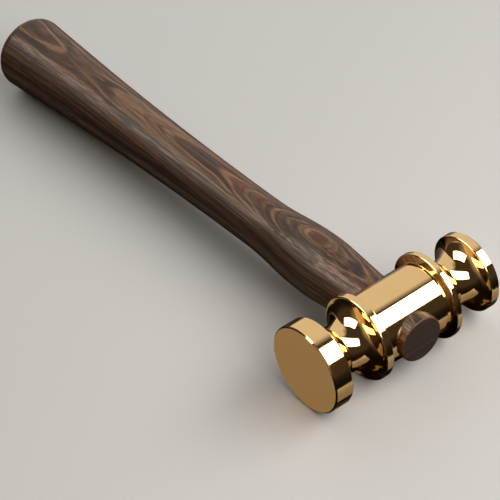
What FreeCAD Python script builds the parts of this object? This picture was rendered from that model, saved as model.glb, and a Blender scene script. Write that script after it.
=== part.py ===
"""Carving mallet: a turned brass head, cross-bored and bonded to a turned wooden handle.

Millimetres, +Z up. The mallet lies on its side on z = 0, on the head's large drum and on the
butt of the handle. The large striking face looks towards -X, the handle runs towards +Y, and
the origin is the middle of the bounding box's underside.

Every piece is drawn in the mallet's own axes, which cross in the middle of the eye: X along the
head and Y along the handle. One placement, resting_place(), then lays all of them down.
"""
import FreeCAD, Part
import math
import os
import Sketcher

# Millimetres. Places along the head and along the handle are counted from the middle of the eye.
SIZES = {
    "large_face": 45.1,
    "drum_radius": 19.0,
    "left_waist_at": 27.4,
    "left_flange_radius": 18.5,
    "barrel_left_end": 14.85,
    "barrel_radius": 15.6,
    "barrel_right_end": 18.0,
    "right_flange_radius": 18.9,
    "right_waist_at": 29.75,
    "disc_radius": 17.0,
    "small_face": 42.7,
    "rim_round": 0.6,
    "face_chamfer": 0.6,
    "wall_taper": 0.7,
    "waist_radius": 10.4,
    "cove_radius": 8.95,
    "tenon_radius": 10.0,
    "tenon_end": 17.7,
    "tenon_round": 0.7,
    "bond_thickness": 0.15,
    "shoulder_gap": 0.05,
    "neck_at": 10.0,
    "neck_radius": 10.95,
    "neck_end_at": 36.0,
    "neck_end_radius": 13.286,
    "swell_at": 43.0,
    "swell_radius": 13.6,
    "grip_waist_at": 82.0,
    "grip_waist_radius": 11.4,
    "taper_at": 214.0,
    "taper_radius": 15.04,
    "butt_at": 244.0,
    "butt_radius": 16.7,
    "butt_round": 5.2,
    "butt_tip": 250.0,
    "butt_crown": 90.0,
}

# Cubic millimetres that a hole takes away at the least.
LEAST_CUT = 100


def tangent_arc_radius(run, rise):
    """Radius of an arc that starts level and climbs rise over run."""
    return (run**2 + rise**2) / (2 * rise)


def add_cove_sizes(sizes):
    """Work out how far each side of its waist a cove reaches, up to the round of a rim."""
    cove_centre = sizes["waist_radius"] + sizes["cove_radius"]
    for rim in ("drum", "left_flange", "right_flange", "disc"):
        lip = sizes[f"{rim}_radius"] - sizes["rim_round"]
        sizes[f"{rim}_reach"] = math.sqrt(sizes["cove_radius"] ** 2 - (cove_centre - lip) ** 2)


def add_handle_sizes(sizes):
    """Work out the arcs of the grip: up to the swell, down to the waist and up to the taper."""
    rise = sizes["swell_radius"] - sizes["neck_end_radius"]
    sizes["crest_arc"] = tangent_arc_radius(sizes["swell_at"] - sizes["neck_end_at"], rise)
    half_run = (sizes["grip_waist_at"] - sizes["swell_at"]) / 2
    half_fall = (sizes["swell_radius"] - sizes["grip_waist_radius"]) / 2
    sizes["hollow_arc"] = tangent_arc_radius(half_run, half_fall)
    sizes["swell_end_at"] = sizes["swell_at"] + half_run
    sizes["swell_end_radius"] = sizes["swell_radius"] - half_fall
    taper_run = sizes["taper_at"] - sizes["grip_waist_at"]
    sizes["flare_arc"] = tangent_arc_radius(taper_run, sizes["taper_radius"] - sizes["grip_waist_radius"])
    crown_edge = sizes["butt_radius"] - sizes["butt_round"]
    sizes["crown_edge_radius"] = crown_edge
    crown_drop = sizes["butt_crown"] - math.sqrt(sizes["butt_crown"] ** 2 - crown_edge**2)
    sizes["crown_edge_at"] = sizes["butt_tip"] - crown_drop


def add_resting_sizes(sizes):
    """Work out how the mallet lies: the butt and the drum both touch z = 0."""
    drop = sizes["drum_radius"] - sizes["butt_radius"]
    tilt = math.atan2(drop, sizes["butt_at"])
    sizes["rest_tilt"] = math.degrees(tilt)
    front = -sizes["drum_radius"]
    back = sizes["butt_tip"] * math.cos(tilt)
    sizes["rest_back"] = -(front + back) / 2
    sizes["rest_side"] = (sizes["large_face"] - sizes["small_face"]) / 2


def make_sheet(doc, sizes):
    """Put every size in a spreadsheet cell with its own alias."""
    sheet = doc.addObject("Spreadsheet::Sheet", "Sizes")
    for row, (alias, value) in enumerate(sizes.items(), start=1):
        sheet.set(f"A{row}", alias)
        sheet.set(f"B{row}", repr(value))
        sheet.setAlias(f"B{row}", alias)
    doc.recompute()
    return sheet


def cell(formula):
    """Write a formula of size names as an expression on the spreadsheet's cells."""
    words = formula.replace("(", " ( ").replace(")", " ) ").split()
    return " ".join(f"Sizes.{word}" if word[0].isalpha() else word for word in words)


def make_body(doc, label):
    body = doc.addObject("PartDesign::Body", label)
    body.Label = label
    return body


def make_sketch(body, name, plane):
    sketch = body.newObject("Sketcher::SketchObject", name)
    support = next(item for item in body.Origin.OriginFeatures if item.Role == plane)
    sketch.AttachmentSupport = (support, [""])
    sketch.MapMode = "FlatFace"
    return sketch


def bind(sketch, constraint, formula):
    """Add a sketch constraint whose value is a formula on the spreadsheet."""
    index = sketch.addConstraint(constraint)
    name = f"size_{index}"
    sketch.renameConstraint(index, name)
    sketch.setExpression(f"Constraints.{name}", cell(formula))


def arc_between(start, end, radius, turn):
    """Short arc from start to end. turn is 1 where it turns left and -1 where it turns right."""
    chord = end - start
    middle = (start + end) * 0.5
    offset = math.sqrt(radius**2 - (chord.Length / 2) ** 2) * turn
    centre = middle + FreeCAD.Vector(-chord.y, chord.x, 0).normalize() * offset
    first, last = (start, end) if turn > 0 else (end, start)
    angles = [math.atan2(point.y - centre.y, point.x - centre.x) for point in (first, last)]
    circle = Part.Circle(centre, FreeCAD.Vector(0, 0, 1), radius)
    return Part.ArcOfCircle(circle, *angles)


def draw_outline(sketch, steps):
    """Draw a closed outline on the sketch from formulas.

    A step is the point where a stretch ends, (along, out), or (along, out, radius, turn) where
    that stretch is an arc. The stretch of the first step starts at the last step's point.
    """
    points = [FreeCAD.Vector(*(sketch.evalExpression(cell(text)) for text in step[:2]), 0) for step in steps]
    starts = []
    ends = []
    for index, step in enumerate(steps):
        start, end = points[index - 1], points[index]
        if len(step) == 2:
            sketch.addGeometry(Part.LineSegment(start, end))
            turn = 1
        else:
            radius, turn = sketch.evalExpression(cell(step[2])), step[3]
            sketch.addGeometry(arc_between(start, end, radius, turn))
            bind(sketch, Sketcher.Constraint("Radius", index, radius), step[2])
        starts.append(1 if turn > 0 else 2)
        ends.append(2 if turn > 0 else 1)
    for index, step in enumerate(steps):
        following = (index + 1) % len(steps)
        sketch.addConstraint(
            Sketcher.Constraint("Coincident", index, ends[index], following, starts[following])
        )
        for kind, formula, value in zip(("DistanceX", "DistanceY"), step, points[index]):
            if formula == "0":
                axis = -2 if kind == "DistanceX" else -1
                sketch.addConstraint(Sketcher.Constraint("PointOnObject", index, ends[index], axis))
            else:
                bind(sketch, Sketcher.Constraint(kind, -1, 1, index, ends[index], value), formula)


def revolve(body, sketch, axis):
    turned = body.newObject("PartDesign::Revolution", f"{sketch.Name}_turning")
    turned.Profile = sketch
    turned.ReferenceAxis = (sketch, [axis])
    turned.Angle = 360
    sketch.Visibility = False
    return turned


def cut_through(body, name, plane, radius):
    """Cut a round hole of this radius straight through a body, round the middle of the eye."""
    doc = body.Document
    doc.recompute()
    before = body.Shape.Volume
    circle = make_sketch(body, f"{name}_circle", plane)
    circle.addGeometry(Part.Circle(FreeCAD.Vector(), FreeCAD.Vector(0, 0, 1), 1))
    circle.addConstraint(Sketcher.Constraint("Coincident", 0, 3, -1, 1))
    bind(circle, Sketcher.Constraint("Radius", 0, 1), radius)
    hole = body.newObject("PartDesign::Pocket", name)
    hole.Profile = circle
    hole.Type = "ThroughAll"
    hole.SideType = "Symmetric"
    circle.Visibility = False
    doc.recompute()
    if body.Shape.Volume > before - LEAST_CUT:
        raise RuntimeError(f"{name} cut nothing")


def cove_steps(waist_at, right_rim):
    """Outline of a half-round cove: down to its waist and up to the rim on its right."""
    return [
        (waist_at, "waist_radius", "cove_radius", 1),
        (f"{waist_at} + {right_rim}_reach", f"{right_rim}_radius - rim_round", "cove_radius", 1),
    ]


def rim_steps(left, right, rim):
    """Outline of a rim between two walls, from its left round to its right round."""
    return [
        (f"{left} + rim_round", f"{rim}_radius", "rim_round", -1),
        (f"{right} - rim_round", f"{rim}_radius"),
        (right, f"{rim}_radius - rim_round", "rim_round", -1),
    ]


def head_steps():
    """Upper half of the head's section, clockwise from the middle of the large face."""
    left_waist = "0 - left_waist_at"
    drum_back = f"{left_waist} - drum_reach"
    left_flange_face = f"{left_waist} + left_flange_reach"
    right_flange_face = "right_waist_at - right_flange_reach"
    disc_back = "right_waist_at + disc_reach"
    large_face = [
        ("0 - large_face", "0"),
        ("0 - large_face", "drum_radius - face_chamfer"),
        ("face_chamfer - large_face", "drum_radius"),
    ]
    small_face = [
        ("small_face - face_chamfer", "disc_radius"),
        ("small_face", "disc_radius - face_chamfer"),
        ("small_face", "0"),
    ]
    barrel = [
        ("0 - barrel_left_end + wall_taper", "barrel_radius"),
        ("barrel_right_end - wall_taper", "barrel_radius"),
        ("barrel_right_end", "right_flange_radius - rim_round"),
    ]
    return (
        large_face
        + rim_steps("0 - large_face", drum_back, "drum")[1:]
        + cove_steps(left_waist, "left_flange")
        + rim_steps(left_flange_face, "0 - barrel_left_end", "left_flange")
        + barrel
        + rim_steps("barrel_right_end", right_flange_face, "right_flange")
        + cove_steps("right_waist_at", "disc")
        + rim_steps(disc_back, "small_face", "disc")[:1]
        + small_face
    )


def make_head(doc):
    """Brass head, turned from one bar, with the eye bored straight across the barrel."""
    head = make_body(doc, "head")
    section = make_sketch(head, "head_section", "XY_Plane")
    draw_outline(section, head_steps())
    revolve(head, section, "H_Axis")
    cut_through(head, "eye", "XZ_Plane", "tenon_radius + bond_thickness")
    return head


def grip_steps():
    """Half of the grip's section, from inside its shoulder to the butt: (out, along)."""
    return [
        ("0", "neck_at"),
        ("neck_radius", "neck_at"),
        ("neck_end_radius", "neck_end_at"),
        ("swell_radius", "swell_at", "crest_arc", 1),
        ("swell_end_radius", "swell_end_at", "hollow_arc", 1),
        ("grip_waist_radius", "grip_waist_at", "hollow_arc", -1),
        ("taper_radius", "taper_at", "flare_arc", -1),
        ("butt_radius", "butt_at"),
        ("crown_edge_radius", "crown_edge_at", "butt_round", 1),
        ("0", "butt_tip", "butt_crown", 1),
    ]


def tenon_steps():
    """Half of the tenon's section, from its end to its root inside the grip: (out, along)."""
    return [
        ("0", "0 - tenon_end"),
        ("tenon_radius - tenon_round", "0 - tenon_end"),
        ("tenon_radius", "tenon_round - tenon_end", "tenon_round", 1),
        ("tenon_radius", "2 * tenon_radius"),
        ("0", "2 * tenon_radius"),
    ]


def make_handle(doc):
    """Wooden handle: a grip whose shoulder is hollowed to fit the barrel, and a round tenon."""
    handle = make_body(doc, "handle")
    grip = make_sketch(handle, "grip_section", "XY_Plane")
    draw_outline(grip, grip_steps())
    revolve(handle, grip, "V_Axis")
    cut_through(handle, "shoulder", "YZ_Plane", "barrel_radius + shoulder_gap")
    tenon = make_sketch(handle, "tenon_section", "XY_Plane")
    draw_outline(tenon, tenon_steps())
    revolve(handle, tenon, "V_Axis")
    return handle


def make_rod(doc, name, radius, length, turn):
    """Round rod through the middle of the eye, turned from +Z by turn about an axis."""
    rod = doc.addObject("Part::Cylinder", name)
    rod.setExpression("Radius", cell(radius))
    rod.setExpression("Height", cell(length))
    rod.setExpression("Placement.Base.y" if turn.Axis.x else "Placement.Base.x", cell(f"( {length} ) / 2"))
    rod.Placement = FreeCAD.Placement(FreeCAD.Vector(), turn)
    return rod


def make_bond(doc):
    """Hardened epoxy that fills the eye round the tenon, flush with the barrel at both mouths."""
    along_handle = FreeCAD.Rotation(FreeCAD.Vector(1, 0, 0), 90)
    along_head = FreeCAD.Rotation(FreeCAD.Vector(0, 1, 0), -90)
    fill = make_rod(doc, "eye_fill", "tenon_radius + bond_thickness", "4 * barrel_radius", along_handle)
    core = make_rod(doc, "tenon_core", "tenon_radius", "4 * barrel_radius", along_handle)
    stock = make_rod(doc, "barrel_stock", "barrel_radius", "4 * barrel_radius", along_head)
    sleeve = doc.addObject("Part::Cut", "sleeve")
    sleeve.Base = fill
    sleeve.Tool = core
    bond = doc.addObject("Part::Common", "epoxy_bond")
    bond.Base = sleeve
    bond.Tool = stock
    bond.Label = "epoxy_bond"
    return bond


def lay_down(piece):
    """Tilt a piece about the head's axis and lift it, so that drum and butt rest on z = 0."""
    piece.setExpression("Placement.Base.x", cell("rest_side"))
    piece.setExpression("Placement.Base.y", cell("rest_back"))
    piece.setExpression("Placement.Base.z", cell("drum_radius"))
    piece.setExpression("Placement.Rotation.Axis.x", "1")
    piece.setExpression("Placement.Rotation.Axis.y", "0")
    piece.setExpression("Placement.Rotation.Axis.z", "0")
    piece.setExpression("Placement.Rotation.Angle", cell("0 - rest_tilt"))


def check(doc, pieces):
    for item in doc.Objects:
        if {"Invalid", "Error"} & set(item.State):
            raise RuntimeError(f"{item.Name} failed: {item.State}")
    for piece in pieces:
        if piece.Shape.isNull() or not piece.Shape.isValid() or len(piece.Shape.Solids) < 1:
            raise RuntimeError(f"{piece.Label} has no valid solid")


def export(pieces):
    os.makedirs("parts", exist_ok=True)
    for piece in pieces:
        piece.Shape.exportStep(f"parts/{piece.Label}.step")
        box = piece.Shape.optimalBoundingBox(False)
        print(f"{piece.Label}: {piece.Shape.Volume / 1000:.2f} cm3, x {box.XMin:.2f} {box.XMax:.2f},", end=" ")
        print(f"y {box.YMin:.2f} {box.YMax:.2f}, z {box.ZMin:.2f} {box.ZMax:.2f}")


def main():
    sizes = dict(SIZES)
    add_cove_sizes(sizes)
    add_handle_sizes(sizes)
    add_resting_sizes(sizes)
    doc = FreeCAD.newDocument("carving_mallet")
    make_sheet(doc, sizes)
    pieces = [make_head(doc), make_handle(doc), make_bond(doc)]
    for piece in pieces:
        lay_down(piece)
    doc.recompute()
    check(doc, pieces)
    export(pieces)


main()
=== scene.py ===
"""Looks of the carving mallet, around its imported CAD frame.

The head and the handle are turned afresh as dense meshes on the CAD's own outlines, because
polished brass shows every facet. The epoxy sleeve is the CAD's own. Lengths in the outlines and
in the wood's figure are millimetres, counted from the middle of the eye, the hole that the handle
goes through; the scene itself is in metres.
"""

import math

import bpy
import numpy as np
from mathutils import Matrix, Vector


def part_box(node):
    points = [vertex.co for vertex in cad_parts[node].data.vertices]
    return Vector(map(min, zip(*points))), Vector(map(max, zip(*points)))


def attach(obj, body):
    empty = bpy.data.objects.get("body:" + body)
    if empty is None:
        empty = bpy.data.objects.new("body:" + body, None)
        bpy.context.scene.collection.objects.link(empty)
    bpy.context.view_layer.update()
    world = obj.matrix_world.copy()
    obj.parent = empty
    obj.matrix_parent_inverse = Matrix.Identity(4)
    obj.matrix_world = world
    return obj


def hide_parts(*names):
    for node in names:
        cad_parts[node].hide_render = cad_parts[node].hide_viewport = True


MM = 0.001

# Head, along its axis and out from it.
LARGE_FACE = 45.1
SMALL_FACE = 42.7
DRUM_R = 19.0
LEFT_FLANGE_R = 18.5
RIGHT_FLANGE_R = 18.9
DISC_R = 17.0
BARREL_R = 15.6
BARREL_LEFT = 14.85
BARREL_RIGHT = 18.0
LEFT_WAIST = -27.4
RIGHT_WAIST = 29.75
WAIST_R = 10.4
COVE_R = 8.95
RIM_ROUND = 0.6
FACE_CHAMFER = 0.6
WALL_TAPER = 0.7
FOOT_CURVE = 0.25
FOOT_BEND_R = 1.22 * FOOT_CURVE
EYE_R = 10.15
EYE_EASE = 0.22

# Handle, along its own axis and out from it.
TENON_R = 10.0
TENON_END = 17.7
TENON_ROUND = 0.7
SEAT_R = 15.65
NECK_AT, NECK_R = 10.0, 10.95
NECK_END_AT, NECK_END_R = 36.0, 13.286
SWELL_AT, SWELL_R = 43.0, 13.6
GRIP_AT, GRIP_R = 82.0, 11.4
TAPER_AT, TAPER_R = 214.0, 15.04
BUTT_AT, BUTT_R = 244.0, 16.7
BUTT_ROUND = 5.2
BUTT_TIP = 250.0
BUTT_CROWN = 90.0
REST_TILT = math.atan2(DRUM_R - BUTT_R, BUTT_AT)
NECK_SLOPE = (NECK_END_R - NECK_R) / (NECK_END_AT - NECK_AT)

# How finely the outlines are stepped, and how corners are told from smooth joins.
ARC_STEP = math.radians(4)
SPACING = 1.5
CORNER_EASE = 0.02
SMOOTH_JOIN = 0.9995
TINY = 1e-6

# Mesh of the head. The skin round the eye is a patch of its own, this many columns and
# millimetres to each side of the mouth's middle.
HEAD_COLUMNS = 288
PATCH_HALF = 39
PATCH_REACH = 12.5
PATCH_RINGS = 26
PATCH_LAYERS = 6
EASE_LAYERS = 4

# Mesh of the handle.
HANDLE_COLUMNS = 192
SEAT_EASE = 0.02
NECK_JOIN_AT = 24.0
NECK_ROWS = 8

# How worn an edge is, from 0 to 1, where it isn't read off the outline's bend.
MOUTH_WEAR = 0.6
LIP_WEAR = 0.3


# ---------------------------------------------------------------- outlines

def arc_points(start, end, radius, turn):
    """Points and outward normals along the short arc from start to end; turn 1 is a hollow."""
    chord = end - start
    half = np.hypot(*chord) / 2
    side = np.array([-chord[1], chord[0]]) / (2 * half)
    centre = (start + end) / 2 + side * math.sqrt(max(radius**2 - half**2, 0)) * turn
    first = math.atan2(start[1] - centre[1], start[0] - centre[0])
    last = math.atan2(end[1] - centre[1], end[0] - centre[0])
    sweep = (last - first + math.pi) % (2 * math.pi) - math.pi
    count = max(3, math.ceil(abs(sweep) / ARC_STEP), math.ceil(abs(sweep) * radius / SPACING))
    angles = first + sweep * np.linspace(0, 1, count + 1)
    out = np.stack([np.cos(angles), np.sin(angles)], 1)
    return centre + out * radius, out * -turn


def line_points(start, end):
    """Points and outward normals along a straight stretch."""
    run = end - start
    length = np.hypot(*run)
    count = max(1, math.ceil(length / SPACING))
    normal = np.array([-run[1], run[0]]) / length
    points = start + run * np.linspace(0, 1, count + 1)[:, None]
    return points, np.tile(normal, (count + 1, 1))


def outline(start, steps):
    """Rings of a turned outline: (along, out), normals, and how sharply the outline bends there.

    A step is (along, out), or (along, out, radius, turn) for an arc. Where two stretches meet at
    a corner, the corner is eased by a sliver, so that each side keeps its own normal.
    """
    rings, normals, bends = [], [], []
    last = np.array(start, float)
    for one in steps:
        end = np.array(one[:2], float)
        if len(one) == 2:
            points, outward = line_points(last, end)
            bend = 0.0
        else:
            points, outward = arc_points(last, end, one[2], one[3])
            bend = -one[3] / one[2]
        last = end
        if rings:
            if np.dot(normals[-1], outward[0]) < SMOOTH_JOIN:
                before = rings[-2] - rings[-1]
                after = points[1] - points[0]
                rings[-1] = rings[-1] + before / np.hypot(*before) * CORNER_EASE
                points[0] = points[0] + after / np.hypot(*after) * CORNER_EASE
            else:
                points, outward = points[1:], outward[1:]
        rings.extend(points)
        normals.extend(outward)
        bends.extend([bend] * len(points))
    return np.array(rings), np.array(normals), np.array(bends)


def reach(rim):
    """How far from its waist a cove reaches, up to the round of a rim."""
    return math.sqrt(COVE_R**2 - (WAIST_R + COVE_R - rim + RIM_ROUND) ** 2)


def rim_steps(left, right, rim):
    """A rim's round, its land and its other round."""
    return [
        (left + RIM_ROUND, rim, RIM_ROUND, -1),
        (right - RIM_ROUND, rim),
        (right, rim - RIM_ROUND, RIM_ROUND, -1),
    ]


def cove_steps(waist_at, rim):
    """A round cove, from the rim before it through its waist to the next rim."""
    return [(waist_at, WAIST_R, COVE_R, 1), (waist_at + reach(rim), rim - RIM_ROUND, COVE_R, 1)]


def wall_foot(at, side, rim):
    """Where the small curve at the foot of a flange's tapered wall starts and ends."""
    slope = math.hypot(WALL_TAPER, rim - RIM_ROUND - BARREL_R)
    up = FOOT_CURVE / slope
    foot = at - side * WALL_TAPER
    on_wall = (foot + side * WALL_TAPER * up, BARREL_R + (rim - RIM_ROUND - BARREL_R) * up)
    return on_wall, (foot - side * FOOT_CURVE, BARREL_R)


def head_outline():
    """The head's outline, from the middle of its large face to the middle of its small one."""
    left_back = -BARREL_LEFT
    left_wall, left_floor = wall_foot(left_back, -1, LEFT_FLANGE_R)
    right_wall, right_floor = wall_foot(BARREL_RIGHT, 1, RIGHT_FLANGE_R)
    steps = (
        [(-LARGE_FACE, DRUM_R - FACE_CHAMFER), (FACE_CHAMFER - LARGE_FACE, DRUM_R)]
        + rim_steps(-LARGE_FACE, LEFT_WAIST - reach(DRUM_R), DRUM_R)[1:]
        + cove_steps(LEFT_WAIST, LEFT_FLANGE_R)
        + rim_steps(LEFT_WAIST + reach(LEFT_FLANGE_R), left_back, LEFT_FLANGE_R)
        + [left_wall, (*left_floor, FOOT_BEND_R, 1)]
        + [right_floor, (*right_wall, FOOT_BEND_R, 1)]
        + [(BARREL_RIGHT, RIGHT_FLANGE_R - RIM_ROUND)]
        + rim_steps(BARREL_RIGHT, RIGHT_WAIST - reach(RIGHT_FLANGE_R), RIGHT_FLANGE_R)
        + cove_steps(RIGHT_WAIST, DISC_R)
        + rim_steps(RIGHT_WAIST + reach(DISC_R), SMALL_FACE, DISC_R)[:1]
        + [(SMALL_FACE - FACE_CHAMFER, DISC_R), (SMALL_FACE, DISC_R - FACE_CHAMFER)]
        + [(SMALL_FACE, 0)]
    )
    return outline((-LARGE_FACE, 0), steps)


def level_arc(run, rise):
    """Radius of an arc that starts level and climbs rise over run."""
    return (run**2 + rise**2) / (2 * rise)


def grip_outline(start_at):
    """The grip's outline, from a place on its straight neck to the butt."""
    crest = level_arc(SWELL_AT - NECK_END_AT, SWELL_R - NECK_END_R)
    bend_at, bend_r = (SWELL_AT + GRIP_AT) / 2, (SWELL_R + GRIP_R) / 2
    hollow = level_arc(bend_at - SWELL_AT, SWELL_R - bend_r)
    flare = level_arc(TAPER_AT - GRIP_AT, TAPER_R - GRIP_R)
    crown_edge = BUTT_R - BUTT_ROUND
    crown_at = BUTT_TIP - (BUTT_CROWN - math.sqrt(BUTT_CROWN**2 - crown_edge**2))
    steps = [
        (NECK_END_AT, NECK_END_R),
        (SWELL_AT, SWELL_R, crest, -1),
        (bend_at, bend_r, hollow, -1),
        (GRIP_AT, GRIP_R, hollow, 1),
        (TAPER_AT, TAPER_R, flare, 1),
        (BUTT_AT, BUTT_R),
        (crown_at, crown_edge, BUTT_ROUND, -1),
        (BUTT_TIP, 0, BUTT_CROWN, -1),
    ]
    return outline((start_at, neck_radius(start_at)), steps)


def tenon_outline(root_at):
    """The tenon's outline, from the middle of its end to a place inside the shoulder."""
    steps = [
        (-TENON_END, TENON_R - TENON_ROUND),
        (TENON_ROUND - TENON_END, TENON_R, TENON_ROUND, -1),
        (root_at, TENON_R),
    ]
    return outline((-TENON_END, 0), steps)


def neck_radius(along):
    """Radius of the neck's straight flank."""
    return NECK_R + NECK_SLOPE * (along - NECK_AT)


def neck_start(up):
    """Where the neck's straight flank meets the hollow that seats on the barrel."""
    base = NECK_R - NECK_SLOPE * NECK_AT
    a = 1 + (up * NECK_SLOPE) ** 2
    b = 2 * up**2 * base * NECK_SLOPE
    c = (up * base) ** 2 - SEAT_R**2
    return (math.sqrt(b**2 - 4 * a * c) - b) / (2 * a)


# ---------------------------------------------------------------- turned meshes

class Turning:
    """Collects vertices, normals, faces and an edge value for one turned mesh."""

    def __init__(self):
        self.points, self.normals, self.edges, self.faces = [], [], [], []

    def add(self, point, normal, edge=0.0):
        self.points.append(tuple(point))
        self.normals.append(tuple(normal))
        self.edges.append(edge)
        return len(self.points) - 1

    def ring(self, place, along, out, n_along, n_out, columns, edge, kept=None):
        """One ring of vertices; a single vertex where it closes on the axis."""
        if out < TINY:
            return [self.add(place(along, 0, 0), place(n_along, 0, 0), edge)] * columns
        row = []
        for column in range(columns):
            if kept and not kept(column):
                row.append(None)
                continue
            turn = 2 * math.pi * column / columns
            side, up = -math.sin(turn), math.cos(turn)
            point = place(along, out * side, out * up)
            row.append(self.add(point, place(n_along, n_out * side, n_out * up), edge))
        return row

    def rings(self, place, outlined, columns):
        """The rings of a whole outline, as outline() gives it."""
        return [
            self.ring(place, *at, *normal, columns, edge_value(bend))
            for at, normal, bend in zip(*outlined)
        ]

    def strip(self, one, two):
        """Faces between two closed rows of vertices."""
        columns = len(one)
        for column in range(columns):
            after = (column + 1) % columns
            corners = [one[column], one[after], two[after], two[column]]
            if None in corners:
                continue
            unique = list(dict.fromkeys(corners))
            if len(unique) > 2:
                self.faces.append(unique)

    def build(self, name, eye):
        """The mesh as an object, tilted as it lies and put with its eye at the eye's place."""
        tilt = Matrix.Rotation(-REST_TILT, 3, "X")
        mesh = bpy.data.meshes.new(name)
        points = [tilt @ Vector(point) * MM + eye for point in self.points]
        normals = [(tilt @ Vector(normal)).normalized() for normal in self.normals]
        faces = []
        for face in self.faces:
            a, b, c = (points[index] for index in face[:3])
            facing = (b - a).cross(c - a).dot(normals[face[0]] + normals[face[2]])
            faces.append(face if facing > 0 else face[::-1])
        mesh.from_pydata(points, [], faces)
        mesh.polygons.foreach_set("use_smooth", [True] * len(mesh.polygons))
        rims = mesh.attributes.new("rim", "FLOAT", "POINT")
        rims.data.foreach_set("value", self.edges)
        mesh.normals_split_custom_set_from_vertices(normals)
        mesh.update()
        piece = bpy.data.objects.new(name, mesh)
        bpy.context.scene.collection.objects.link(piece)
        return piece


def along_x(along, side, up):
    """A point of the head, whose axis is X."""
    return (along, side, up)


def along_y(along, side, up):
    """A point of the handle, whose axis is Y."""
    return (side, along, up)


def edge_value(bend):
    """1 on a small convex round, 0 on faces, and below 0 in a hollow."""
    return min(max(bend * RIM_ROUND, -1), 1)


def eye_loops(turning, rows, columns):
    """Skin of the barrel round both mouths of the eye, and the bore between them.

    rows are the barrel's rings across the mouths, and columns the first and last column of the
    front mouth's patch. The back mouth is the front one's mirror image.
    """
    first, last = columns
    top, bottom = 0, len(rows) - 1
    rim = [(top, c) for c in range(first, last)]
    rim += [(r, last) for r in range(top, bottom)]
    rim += [(bottom, c) for c in range(last, first, -1)]
    rim += [(r, first) for r in range(bottom, top, -1)]
    inner = []
    for front in (-1, 1):
        loop = []
        for row, column in rim:
            mirrored = column if front < 0 else (HEAD_COLUMNS - column) % HEAD_COLUMNS
            loop.append(rows[row][mirrored])
        outer = [turning.points[index] for index in loop]
        angles = [math.atan2(point[2], point[0]) for point in outer]
        spans = [math.hypot(point[2], point[0]) for point in outer]
        for layer in range(1, PATCH_LAYERS + 1):
            share = layer / PATCH_LAYERS
            row = []
            for angle, span in zip(angles, spans):
                out = span + (EYE_R + EYE_EASE - span) * share
                up = out * math.sin(angle)
                deep = math.sqrt(BARREL_R**2 - up**2)
                normal = (0, front * deep / BARREL_R, up / BARREL_R)
                row.append(turning.add((out * math.cos(angle), front * deep, up), normal))
            turning.strip(loop, row)
            loop = row
        for layer in range(1, EASE_LAYERS + 1):
            row = [mouth_point(turning, angle, layer / EASE_LAYERS, front) for angle in angles]
            turning.strip(loop, row)
            loop = row
        inner.append(loop)
    turning.strip(*inner)


def mouth_curve(angle, share):
    """A point of the eased edge of the eye's mouth: (out from the handle's axis, along it)."""

    def skin(out):
        return math.sqrt(BARREL_R**2 - (out * math.sin(angle)) ** 2)

    start = np.array([EYE_R + EYE_EASE, skin(EYE_R + EYE_EASE)])
    corner = np.array([EYE_R, skin(EYE_R)])
    end = corner - np.array([0, EYE_EASE])
    return start * (1 - share) ** 2 + corner * 2 * share * (1 - share) + end * share**2


def mouth_point(turning, angle, share, front):
    """Add a vertex of the eye's eased mouth, with the normal of the curved edge there."""

    def at(one_angle, one_share):
        out, deep = mouth_curve(one_angle, one_share)
        return np.array([out * math.cos(one_angle), front * deep, out * math.sin(one_angle)])

    small = 1e-3
    down = at(angle, share) - at(angle, share - small)
    round_it = at(angle + small, share) - at(angle - small, share)
    normal = np.cross(down, round_it)
    normal /= np.linalg.norm(normal)
    to_axis = np.array([-math.cos(angle), 0, -math.sin(angle)])
    away = np.array([0, front, 0])
    if normal @ (to_axis + away) < 0:
        normal = -normal
    return turning.add(at(angle, share), normal, MOUTH_WEAR)


def make_head(eye):
    """Brass head with the eye bored across its barrel."""
    outlined = head_outline()
    rings, normals, _ = outlined
    on_barrel = (np.abs(rings[:, 1] - BARREL_R) < TINY) & (np.abs(normals[:, 1] - 1) < TINY)
    barrel = np.flatnonzero(on_barrel)
    front = HEAD_COLUMNS // 4
    patch = (front - PATCH_HALF, front + PATCH_HALF)

    def kept(column):
        """Whether a column of the barrel stays clear of both mouths' patches."""
        return not any(patch[0] < one < patch[1] for one in (column, HEAD_COLUMNS - column))

    turning = Turning()
    before = turning.rings(along_x, [part[: barrel[0] + 1] for part in outlined], HEAD_COLUMNS)
    across = []
    for number, along in enumerate(np.linspace(-PATCH_REACH, PATCH_REACH, PATCH_RINGS)):
        chosen = None if number in (0, PATCH_RINGS - 1) else kept
        across.append(turning.ring(along_x, along, BARREL_R, 0, 1, HEAD_COLUMNS, 0.0, chosen))
    after = turning.rings(along_x, [part[barrel[-1] :] for part in outlined], HEAD_COLUMNS)

    to_patch = [*before, across[0]]
    from_patch = [across[-1], *after]
    for one, two in zip(to_patch, to_patch[1:]):
        turning.strip(one, two)
    for one, two in zip(across, across[1:]):
        barrel_strip(turning, one, two, patch)
    for one, two in zip(from_patch, from_patch[1:]):
        turning.strip(one, two)
    eye_loops(turning, across, patch)
    return turning.build("brass_head", eye)


def barrel_strip(turning, one, two, patch):
    """Faces between two rings of the barrel, outside the patches round the eye's mouths."""
    for column in range(HEAD_COLUMNS):
        after = (column + 1) % HEAD_COLUMNS
        mirrored = HEAD_COLUMNS - column - 1
        if patch[0] <= column < patch[1] or patch[0] <= mirrored < patch[1]:
            continue
        turning.faces.append([one[column], one[after], two[after], two[column]])


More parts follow.
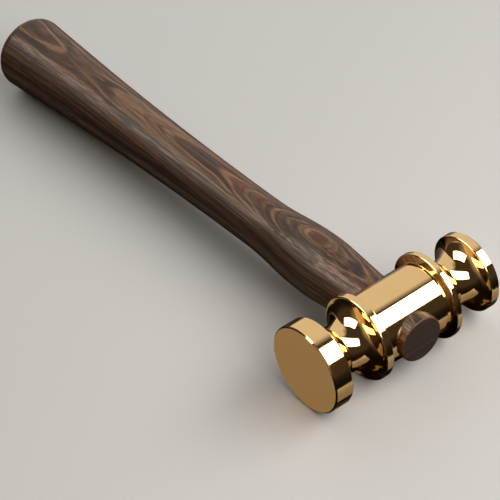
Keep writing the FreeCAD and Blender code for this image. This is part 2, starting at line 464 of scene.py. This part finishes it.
def make_handle(eye):
    """Wooden handle: its shoulder is hollowed to seat on the barrel all round."""
    turning = Turning()
    turns = [2 * math.pi * column / HANDLE_COLUMNS for column in range(HANDLE_COLUMNS)]
    ways = [(-math.sin(turn), math.cos(turn)) for turn in turns]
    rows = turning.rings(along_y, tenon_outline(SEAT_R / 2), HANDLE_COLUMNS)

    def seat_depth(out, up):
        """How far from the head's axis the hollow seat lies, at a distance from the handle's."""
        return math.sqrt(SEAT_R**2 - (out * up) ** 2)

    root, seat = [], []
    for side, up in ways:
        along = seat_depth(TENON_R, up) - SEAT_EASE
        root.append(turning.add((TENON_R * side, along, TENON_R * up), (side, 0, up)))
    out = TENON_R + SEAT_EASE
    for side, up in ways:
        along = seat_depth(out, up)
        seat.append(turning.add((out * side, along, out * up), (0, -along, -out * up)))
    lip, flank = [], [[] for _ in range(NECK_ROWS)]
    for side, up in ways:
        start = neck_start(up)
        out = neck_radius(start) - SEAT_EASE
        lip.append(turning.add((out * side, start, out * up), (0, -start, -out * up), LIP_WEAR))
        for number, row in enumerate(flank):
            along = start + SEAT_EASE + (NECK_JOIN_AT - start - SEAT_EASE) * number / NECK_ROWS
            out = neck_radius(along)
            row.append(turning.add((out * side, along, out * up), (side, -NECK_SLOPE, up)))
    rows += [root, seat, lip, *flank]
    rows += turning.rings(along_y, grip_outline(NECK_JOIN_AT), HANDLE_COLUMNS)
    for one, two in zip(rows, rows[1:]):
        turning.strip(one, two)
    return turning.build("wenge_handle", eye)


# ---------------------------------------------------------------- materials

class Nodes:
    """Short hand for building a node tree: a socket given as a value is linked, a number is set."""

    def __init__(self, owner):
        owner.use_nodes = True
        self.tree = owner.node_tree

    def put(self, socket, value):
        if isinstance(value, bpy.types.NodeSocket):
            self.tree.links.new(value, socket)
        elif isinstance(value, (tuple, list)) and len(value) == 3 and socket.type == "RGBA":
            socket.default_value = (*value, 1)
        else:
            socket.default_value = value

    def node(self, kind, inputs=None, out=0, **settings):
        node = self.tree.nodes.new(kind)
        for key, value in settings.items():
            setattr(node, key, value)
        for key, value in (inputs or {}).items():
            self.put(node.inputs[key], value)
        return node.outputs[out]

    def math(self, operation, *values):
        return self.node("ShaderNodeMath", dict(enumerate(values)), operation=operation)

    def add(self, one, two):
        return self.math("ADD", one, two)

    def times(self, one, two):
        return self.math("MULTIPLY", one, two)

    def length(self, one, two):
        """Length of a flat vector."""
        return self.math("SQRT", self.add(self.times(one, one), self.times(two, two)))

    def vector(self, operation, *values, out=0):
        return self.node("ShaderNodeVectorMath", dict(enumerate(values)), out, operation=operation)

    def combine(self, x, y, z):
        return self.node("ShaderNodeCombineXYZ", {"X": x, "Y": y, "Z": z})

    def split(self, vector):
        node = self.tree.nodes.new("ShaderNodeSeparateXYZ")
        self.put(node.inputs[0], vector)
        return node.outputs["X"], node.outputs["Y"], node.outputs["Z"]

    def noise(self, vector, scale, detail, roughness, distortion=0.0):
        inputs = {"Vector": vector, "Scale": scale, "Detail": detail, "Roughness": roughness}
        return self.node("ShaderNodeTexNoise", {**inputs, "Distortion": distortion})

    def drawn(self, place, across, along, detail, roughness):
        """Noise stretched along the handle's axis, by its rates per millimetre both ways."""
        stretched = self.vector("MULTIPLY", place, (across, along, across))
        return self.noise(stretched, 1.0, detail, roughness)

    def fit(self, value, low, high, to_low=0.0, to_high=1.0):
        """Map low..high to to_low..to_high, and hold the ends."""
        inputs = {"Value": value, "From Min": low, "From Max": high}
        return self.node("ShaderNodeMapRange", {**inputs, "To Min": to_low, "To Max": to_high})

    def mix(self, share, one, two):
        """Colour one where share is 0, and colour two where it is 1."""
        node = self.tree.nodes.new("ShaderNodeMix")
        node.data_type = "RGBA"
        self.put(node.inputs["Factor"], share)
        sockets = [socket for socket in node.inputs if socket.type == "RGBA"]
        self.put(sockets[0], one)
        self.put(sockets[1], two)
        return next(socket for socket in node.outputs if socket.type == "RGBA")

    def ramp(self, value, stops):
        """A colour read off (place, colour) stops."""
        node = self.tree.nodes.new("ShaderNodeValToRGB")
        self.put(node.inputs[0], value)
        elements = node.color_ramp.elements
        while len(elements) < len(stops):
            elements.new(0.5)
        for element, (place, colour) in zip(elements, stops):
            element.position = place
            element.color = (*colour, 1)
        return node.outputs[0]

    def object_place(self):
        return self.node("ShaderNodeTexCoord", out="Object")

    def millimetres(self, eye):
        """Object coordinates in millimetres from the middle of the eye."""
        place = self.vector("SUBTRACT", self.object_place(), tuple(eye))
        return self.vector("SCALE", place, (0, 0, 0), (0, 0, 0), 1 / MM)

    def bump(self, height, strength, distance):
        inputs = {"Height": height, "Strength": strength, "Distance": distance}
        return self.node("ShaderNodeBump", inputs)


class Surface(Nodes):
    """Nodes of a new material with one Principled shader."""

    def __init__(self, name):
        self.material = bpy.data.materials.new(name)
        super().__init__(self.material)

    def done(self, inputs):
        """Lead values into the shader's inputs, and return the material."""
        shader = self.tree.nodes["Principled BSDF"]
        for key, value in inputs.items():
            self.put(shader.inputs[key], value)
        return self.material


BRASS_DEEP = (0.935, 0.625, 0.275)
BRASS_PALE = (0.955, 0.67, 0.325)
# Painted bounce light and shade: darker, more orange brass for the hollows.
BRASS_PAINTED_BOUNCE = (0.92, 0.58, 0.225)
BRASS_RIM = (0.97, 0.76, 0.42)
BRASS_BUMP = 0.00002


def brass(eye):
    """Mirror-polished brass: faint turning rings, softened rims, and painted bounce and shade in
    hollows.
    """
    n = Surface("polished_brass")
    place = n.millimetres(eye)
    x, y, z = n.split(place)
    turned = n.combine(x, n.length(y, z), 0.0)
    rim = n.node("ShaderNodeAttribute", out="Fac", attribute_name="rim")
    cloud = n.noise(place, 0.09, 3.0, 0.55)
    smear = n.noise(place, 0.45, 4.0, 0.6, 0.6)
    rings = n.noise(turned, 5.0, 3.0, 0.7)
    hairs = n.drawn(place, 7.0, 1.2, 2.0, 0.6)
    # Painted light: in the hollows the brass turns darker and more orange, standing in for light
    # bounced between brass walls and for shade in the coves.
    hollow = n.fit(n.times(rim, -1.0), 0.0, 0.12, 0.0, 0.35)
    base = n.mix(n.fit(cloud, 0.3, 0.7), BRASS_DEEP, BRASS_PALE)
    base = n.mix(hollow, base, BRASS_PAINTED_BOUNCE)
    base = n.mix(n.fit(rim, 0.3, 1.0, 0.0, 0.5), base, BRASS_RIM)
    rough = n.fit(smear, 0.35, 0.75, 0.035, 0.085)
    rough = n.add(rough, n.fit(rings, 0.45, 0.8, 0.0, 0.02))
    rough = n.add(rough, n.fit(rim, 0.3, 1.0, 0.0, 0.05))
    height = n.add(n.times(rings, 0.6), n.times(hairs, 0.4))
    normal = n.bump(height, 0.03, BRASS_BUMP)
    return n.done({"Base Color": base, "Metallic": 1.0, "Roughness": rough, "Normal": normal})


# The wood's figure. The growth layers' axis lies this far aside of the handle's axis and below
# it, and the layers climb by this share towards the butt. A layer goes by its distance from that
# axis: the red heart comes in over a ring of this width, up to this layer.
LAYER_ASIDE = 0.5
LAYER_BELOW = 64.38
LAYER_CLIMB = 0.032
LAYER_SWAY = 1.0
LAYER_RIPPLE = 0.45
HEART_LAYER = 76.58
HEART_RING = 1.25

ZONE_COLOURS = [
    (0.30, (0.038, 0.020, 0.011)),
    (0.42, (0.082, 0.042, 0.024)),
    (0.52, (0.066, 0.035, 0.020)),
    (0.59, (0.125, 0.042, 0.024)),
    (0.68, (0.220, 0.084, 0.030)),
]
HEART_COLOURS = [
    (0.20, (0.036, 0.022, 0.014)),
    (0.38, (0.050, 0.030, 0.019)),
    (0.50, (0.225, 0.130, 0.060)),
    (0.72, (0.200, 0.110, 0.052)),
    (0.84, (0.215, 0.046, 0.027)),
    (1.00, (0.130, 0.030, 0.020)),
]
DARK_BAND = (0.024, 0.013, 0.009)
PALE_BAND = (0.205, 0.112, 0.055)
DARK_LINE = (0.026, 0.014, 0.009)
PALE_THREAD = (0.195, 0.103, 0.064)
DARK_THREAD = (0.018, 0.009, 0.006)
PORE_BROWN = (0.009, 0.005, 0.003)
CROSSWISE_RED = (0.185, 0.056, 0.030)
END_DARK = (0.011, 0.009, 0.008)
END_PALE = (0.036, 0.026, 0.021)
END_DOT = (0.006, 0.004, 0.003)
WOOD_SPECULAR = 0.32
WOOD_BUMP = 0.0001


def wenge(eye):
    """Oiled wenge, dark with paler and redder streaks.

    Its growth layers curve gently about an axis far below the handle. So the turned surface cuts
    them in nested ovals on top and in lines at the sides, and the innermost ovals show red heart.
    """
    n = Surface("oiled_wenge")
    place = n.millimetres(eye)
    x, y, z = n.split(place)
    sway = n.drawn(place, 0.020, 0.011, 1.0, 0.4)
    sway = n.fit(sway, 0.25, 0.75, -LAYER_SWAY, LAYER_SWAY)
    ripple = n.drawn(place, 0.07, 0.026, 2.0, 0.5)
    ripple = n.fit(ripple, 0.25, 0.75, -LAYER_RIPPLE, LAYER_RIPPLE)
    layer = n.length(n.add(x, LAYER_ASIDE), n.add(z, LAYER_BELOW))
    layer = n.add(n.add(layer, n.times(y, -LAYER_CLIMB)), n.add(sway, ripple))

    def layered(rate, drift, offset):
        """Noise that changes quickly from layer to layer and slowly along the handle."""
        point = n.combine(n.times(layer, rate), n.times(y, drift), offset)
        return n.noise(point, 1.0, 1.0, 0.5)

    zones = layered(0.62, 0.014, 0.0)
    bands = layered(1.9, 0.010, 5.0)
    lines = layered(4.2, 0.014, 9.0)
    thread = n.drawn(place, 2.1, 0.016, 2.0, 0.55)
    pores = n.fit(n.drawn(place, 4.0, 0.06, 1.0, 0.5), 0.58, 0.66)
    colour = n.ramp(zones, ZONE_COLOURS)
    colour = n.mix(n.fit(bands, 0.38, 0.49, 0.90, 0.0), colour, DARK_BAND)
    colour = n.mix(n.fit(bands, 0.53, 0.60, 0.0, 0.80), colour, PALE_BAND)
    heart = n.fit(layer, HEART_LAYER - HEART_RING, HEART_LAYER)
    colour = n.mix(n.fit(heart, 0.0, 0.3, 0.0, 0.85), colour, n.ramp(heart, HEART_COLOURS))
    colour = n.mix(n.fit(lines, 0.36, 0.54, 0.68, 0.0), colour, DARK_LINE)
    colour = n.mix(n.fit(thread, 0.52, 0.68, 0.0, 0.62), colour, PALE_THREAD)
    colour = n.mix(n.fit(thread, 0.30, 0.47, 0.85, 0.0), colour, DARK_THREAD)
    colour = n.mix(n.times(pores, 0.7), colour, PORE_BROWN)

    # Where the surface cuts across the grain it reddens, and the ends are dark end grain.
    facing = n.node("ShaderNodeNewGeometry", out="Normal")
    crosswise = n.math("ABSOLUTE", n.vector("DOT_PRODUCT", facing, (0, 1, 0), out="Value"))
    colour = n.mix(n.fit(crosswise, 0.20, 0.70, 0.0, 0.50), colour, CROSSWISE_RED)
    end = n.fit(crosswise, 0.76, 0.99)
    dots = n.noise(place, 2.6, 1.0, 0.5)
    end_grain = n.mix(n.fit(bands, 0.38, 0.62), END_DARK, END_PALE)
    end_grain = n.mix(n.fit(dots, 0.56, 0.66, 0.0, 0.8), end_grain, END_DOT)
    colour = n.mix(n.times(end, 0.90), colour, end_grain)

    rough = n.fit(thread, 0.38, 0.62, 0.46, 0.17)
    rough = n.add(rough, n.times(pores, 0.22))
    rough = n.add(rough, n.times(end, 0.12))
    height = n.math("SUBTRACT", n.times(thread, 0.8), n.times(pores, 0.9))
    height = n.add(height, n.times(lines, 0.5))
    normal = n.bump(height, 0.3, WOOD_BUMP)
    inputs = {"Base Color": colour, "Roughness": rough, "Normal": normal}
    return n.done({**inputs, "Specular IOR Level": WOOD_SPECULAR})


EPOXY_DARK = (0.035, 0.020, 0.012)
EPOXY_AMBER = (0.10, 0.06, 0.03)
EPOXY_BUMP = 0.00005


def epoxy(eye):
    """Hardened dark epoxy, with tiny bubbles and a slightly uneven gloss."""
    n = Surface("dark_epoxy")
    speck = n.noise(n.millimetres(eye), 2.4, 3.0, 0.6)
    base = n.mix(n.fit(speck, 0.35, 0.7), EPOXY_DARK, EPOXY_AMBER)
    rough = n.fit(speck, 0.3, 0.7, 0.14, 0.30)
    normal = n.bump(speck, 0.3, EPOXY_BUMP)
    return n.done({"Base Color": base, "Roughness": rough, "Normal": normal})


PAPER_TINT = (1.0, 0.985, 0.965)
PAPER_ROUGHNESS = 0.75
PAPER_BUMP = 0.0002


def paper(tone):
    """Matte studio paper of one lightness, very slightly uneven."""
    n = Surface("pale_paper")
    place = n.object_place()
    tooth = n.noise(place, 900.0, 2.0, 0.6)
    cloud = n.noise(place, 3.0, 2.0, 0.5)
    tones = [tuple(tone * share * tint for tint in PAPER_TINT) for share in (0.97, 1.03)]
    base = n.mix(n.fit(cloud, 0.3, 0.7), *tones)
    normal = n.bump(tooth, 0.05, PAPER_BUMP)
    return n.done({"Base Color": base, "Roughness": PAPER_ROUGHNESS, "Normal": normal})


# Painted reflection: a dark sheet, seen only in reflections and bounce light, with a warm tint on
# what it mirrors.
PAINTED_REFLECTION_BLACK = (0.022, 0.018, 0.015)
GLASS_IOR = 1.48
PAINTED_REFLECTION_WARMTH = (1.0, 0.86, 0.66)


def painted_reflection_glass():
    """Glossy dark sheet, a little hazy and warm in its sheen: it paints dark, warm reflections into
    the brass.
    """
    n = Surface("painted_reflection_glass")
    haze = n.noise(n.object_place(), 6.0, 2.0, 0.5)
    rough = n.fit(haze, 0.3, 0.7, 0.07, 0.11)
    inputs = {"Base Color": PAINTED_REFLECTION_BLACK, "Roughness": rough, "IOR": GLASS_IOR}
    return n.done({**inputs, "Specular Tint": PAINTED_REFLECTION_WARMTH})


# ---------------------------------------------------------------- studio

# Angles are in degrees and sizes in metres. The lights all stand this far from the eye.
LIGHT_DISTANCE = 1.1
WARM_WHITE = (1.0, 0.975, 0.94)
WARM_SHEEN = (1.0, 0.88, 0.76)

# The air is dim all round. On the right a backdrop fades in over these azimuths and out over these
# elevations. On the left is a low glow, which fades out at these angles aside of its azimuth and
# over these elevations.
AIR = (0.050, 0.039, 0.029)
BACKDROP = (0.73, 0.695, 0.655)
BACKDROP_FADE_IN = (76.0, 102.0)
BACKDROP_FADE_UP = (60.0, 82.0)
GLOW = (0.42, 0.37, 0.31)
GLOW_AZIMUTH = -92.0
GLOW_FADE_ASIDE = (14.0, 40.0)
GLOW_FADE_UP = (20.0, 36.0)

FLOOR_HALF = 4.0
FLOOR_TONE = 0.44
BOUNCE_DROP = 0.0004

# The camera aims at this place, in millimetres from the eye, from this many metres away.
CAMERA_AZIMUTH = -36.97
CAMERA_ELEVATION = 40.80
CAMERA_ROLL = -3.67
CAMERA_AIM = (-15.44, 69.30, 0.0)
CAMERA_DISTANCE = 1.01245
CAMERA_LENS = 178.49
CAMERA_NEAR = 0.05
CAMERA_FAR = 50


def direction(azimuth, elevation):
    """Unit vector; azimuth 0 looks towards -Y and 90 towards +X."""
    a, e = math.radians(azimuth), math.radians(elevation)
    return Vector((math.cos(e) * math.sin(a), -math.cos(e) * math.cos(a), math.sin(e)))


def softbox(name, eye, azimuth, elevation, size, radiance, tint=(1, 1, 1)):
    """A rectangular soft light that faces the eye. It lights the scene but the camera misses it."""
    lamp = bpy.data.lights.new(name, "AREA")
    lamp.shape = "RECTANGLE"
    lamp.size, lamp.size_y = size
    lamp.energy = radiance * math.pi * size[0] * size[1]
    lamp.color = tint
    box = bpy.data.objects.new(name, lamp)
    away = direction(azimuth, elevation)
    box.location = eye + away * LIGHT_DISTANCE
    box.rotation_euler = away.to_track_quat("Z", "Y").to_euler()
    box.visible_camera = False
    bpy.context.scene.collection.objects.link(box)
    return box


def make_studio(eye):
    """A key light; a light behind that only shines in the polish; and one that only lights."""
    softbox("key_softbox", eye, 33, 46.5, (2.1, 0.69), 6.0, WARM_WHITE)
    sheen = softbox("back_softbox", eye, -130, 48, (0.92, 0.70), 5.8, WARM_SHEEN)
    sheen.visible_diffuse = False
    fill = softbox("back_fill", eye, 178, 30, (1.0, 0.8), 1.5)
    fill.visible_glossy = False
    make_air()
    bpy.context.scene.view_settings.view_transform = "Standard"


def make_air():
    """Dim warm air round the set, with a soft backdrop on the right and a low glow on the left."""
    world = bpy.data.worlds.new("studio_air")
    n = Nodes(world)
    x, y, z = n.split(n.node("ShaderNodeTexCoord", out="Generated"))
    azimuth = n.times(n.math("ARCTAN2", x, n.times(y, -1.0)), 180 / math.pi)
    elevation = n.times(n.math("ARCSINE", z), 180 / math.pi)
    under = n.fit(elevation, *BACKDROP_FADE_UP, 1.0, 0.0)
    colour = n.mix(n.times(n.fit(azimuth, *BACKDROP_FADE_IN), under), AIR, BACKDROP)
    aside = n.math("ABSOLUTE", n.math("SUBTRACT", azimuth, GLOW_AZIMUTH))
    within = n.fit(aside, *GLOW_FADE_ASIDE, 1.0, 0.0)
    under = n.fit(elevation, *GLOW_FADE_UP, 1.0, 0.0)
    colour = n.mix(n.times(within, under), colour, GLOW)
    n.put(n.tree.nodes["Background"].inputs["Color"], colour)
    bpy.context.scene.world = world


def make_floor(name, height, material):
    """A square sheet of floor round the mallet."""
    half = FLOOR_HALF
    corners = [(x * half, y * half, height) for x, y in ((-1, -1), (1, -1), (1, 1), (-1, 1))]
    mesh = bpy.data.meshes.new(name)
    mesh.from_pydata(corners, [], [(0, 1, 2, 3)])
    floor = bpy.data.objects.new(name, mesh)
    bpy.context.scene.collection.objects.link(floor)
    mesh.materials.append(material)
    return floor


def make_floors():
    """A pale floor for the camera, and under it a hidden dark glossy sheet: painted reflection and
    shade.
    """
    seen = make_floor("studio_floor", 0.0, paper(FLOOR_TONE))
    seen.visible_glossy = False
    seen.visible_diffuse = False
    # Painted reflection and shade: the camera never sees this sheet and it casts no shadow; it only
    # darkens the brass's reflections and the bounce light.
    mirrored = make_floor("painted_reflection_floor", -BOUNCE_DROP, painted_reflection_glass())
    mirrored.visible_camera = False
    mirrored.visible_shadow = False


def make_camera(eye):
    """Camera at the photograph's angle, with its roll and its long lens."""
    back = direction(CAMERA_AZIMUTH, CAMERA_ELEVATION)
    right = Vector((-back.y, back.x, 0)).normalized()
    up = back.cross(right)
    roll = math.radians(CAMERA_ROLL)
    across = right * math.cos(roll) + up * math.sin(roll)
    upward = up * math.cos(roll) - right * math.sin(roll)
    place = eye + Vector(CAMERA_AIM) * MM + back * CAMERA_DISTANCE
    rows = [(across[i], upward[i], back[i], place[i]) for i in range(3)]
    camera = bpy.data.objects.new("camera", bpy.data.cameras.new("camera"))
    camera.matrix_world = Matrix(rows + [(0, 0, 0, 1)])
    camera.data.lens = CAMERA_LENS
    camera.data.clip_start = CAMERA_NEAR
    camera.data.clip_end = CAMERA_FAR
    bpy.context.scene.collection.objects.link(camera)
    bpy.context.scene.camera = camera


# ---------------------------------------------------------------- scene

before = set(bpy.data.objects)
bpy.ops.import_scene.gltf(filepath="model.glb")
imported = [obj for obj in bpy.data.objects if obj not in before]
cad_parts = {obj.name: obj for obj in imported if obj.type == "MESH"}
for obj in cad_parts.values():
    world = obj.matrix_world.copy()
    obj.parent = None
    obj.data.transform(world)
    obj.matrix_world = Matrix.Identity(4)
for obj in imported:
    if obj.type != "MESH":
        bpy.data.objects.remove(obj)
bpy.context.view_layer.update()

low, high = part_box("head")
eye = Vector((low.x + LARGE_FACE * MM, (low.y + high.y) / 2, (low.z + high.z) / 2))

head = make_head(eye)
head.data.materials.append(brass(eye))
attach(head, "root")
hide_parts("head")

handle = make_handle(eye)
handle.data.materials.append(wenge(eye))
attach(handle, "root")
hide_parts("handle")

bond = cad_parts["epoxy_bond"]
bond.data.materials.clear()
bond.data.materials.append(epoxy(eye))

make_floors()
make_studio(eye)
make_camera(eye)
